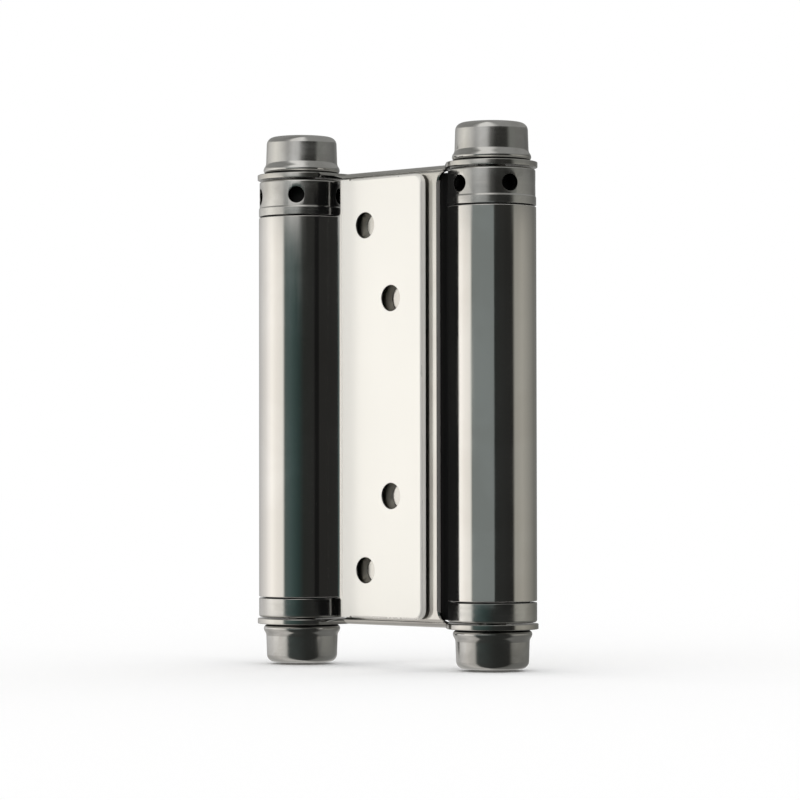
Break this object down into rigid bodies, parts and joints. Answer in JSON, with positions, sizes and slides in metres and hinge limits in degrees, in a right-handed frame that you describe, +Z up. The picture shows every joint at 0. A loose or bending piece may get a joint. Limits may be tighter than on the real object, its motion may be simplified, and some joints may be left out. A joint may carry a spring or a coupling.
{
  "type": "double-action spring hinge",
  "caption": "Double-action self-closing hinge: two sprung barrels with drilled leaves, joined by a flanged web, with drawn caps and drilled tension collars.",
  "frame": {"origin": "middle of the closed hinge, at half height between the two barrels, in the middle of the web's thickness", "axes": "+Z up along both barrels, +X from the jamb barrel to the door barrel along the closed leaves, +Y out of the door leaf's mounting face"},
  "size_m": [0.0712, 0.0274, 0.1182],
  "materials": {
    "leaf_sheet": "polished stainless sheet",
    "web_sheet": "polished stainless sheet",
    "collar_sheet": "polished drawn stainless",
    "cap_sheet": "polished drawn stainless",
    "turned_steel": "turned steel",
    "blackened_steel": "blackened and oiled steel",
    "spring_wire": "oiled spring wire"
  },
  "bodies": {
    "jamb_leaf": {"jamb_barrel_leaf": "leaf_sheet"},
    "web": {"centre_web": "web_sheet", "jamb_bottom_ring": "collar_sheet", "jamb_lower_anchor": "blackened_steel", "jamb_anchor_pin": "turned_steel", "jamb_spindle": "turned_steel", "jamb_spring": "spring_wire", "jamb_top_cap": "cap_sheet", "jamb_bottom_cap": "cap_sheet", "jamb_top_retainer": "turned_steel", "jamb_bottom_retainer": "turned_steel", "door_bottom_ring": "collar_sheet", "door_lower_anchor": "blackened_steel", "door_anchor_pin": "turned_steel", "door_spindle": "turned_steel", "door_spring": "spring_wire", "door_top_cap": "cap_sheet", "door_bottom_cap": "cap_sheet", "door_top_retainer": "turned_steel", "door_bottom_retainer": "turned_steel"},
    "jamb_collar": {"jamb_tension_collar": "collar_sheet", "jamb_upper_anchor": "blackened_steel"},
    "door_leaf": {"door_barrel_leaf": "leaf_sheet"},
    "door_collar": {"door_tension_collar": "collar_sheet", "door_upper_anchor": "blackened_steel"}
  },
  "joints": [
    {"name": "jamb_swing", "type": "hinge", "parent": "jamb_leaf", "child": "web", "pos_m": [-0.0257, -0.0038, 0], "axis": [0, 0, 1], "range_deg": [0, 180], "stiffness_Nm_per_rad": 0.6, "deforming": ["jamb_spring"]},
    {"name": "door_swing", "type": "hinge", "parent": "web", "child": "door_leaf", "pos_m": [0.0257, 0.0038, 0], "axis": [0, 0, -1], "range_deg": [0, 180], "stiffness_Nm_per_rad": 0.6, "deforming": ["door_spring"]},
    {"name": "jamb_tension", "type": "hinge", "parent": "jamb_leaf", "child": "jamb_collar", "pos_m": [-0.0257, -0.0038, 0], "axis": [0, 0, -1], "range_deg": [0, 216]},
    {"name": "door_tension", "type": "hinge", "parent": "door_leaf", "child": "door_collar", "pos_m": [0.0257, 0.0038, 0], "axis": [0, 0, -1], "range_deg": [0, 216]}
  ]
}
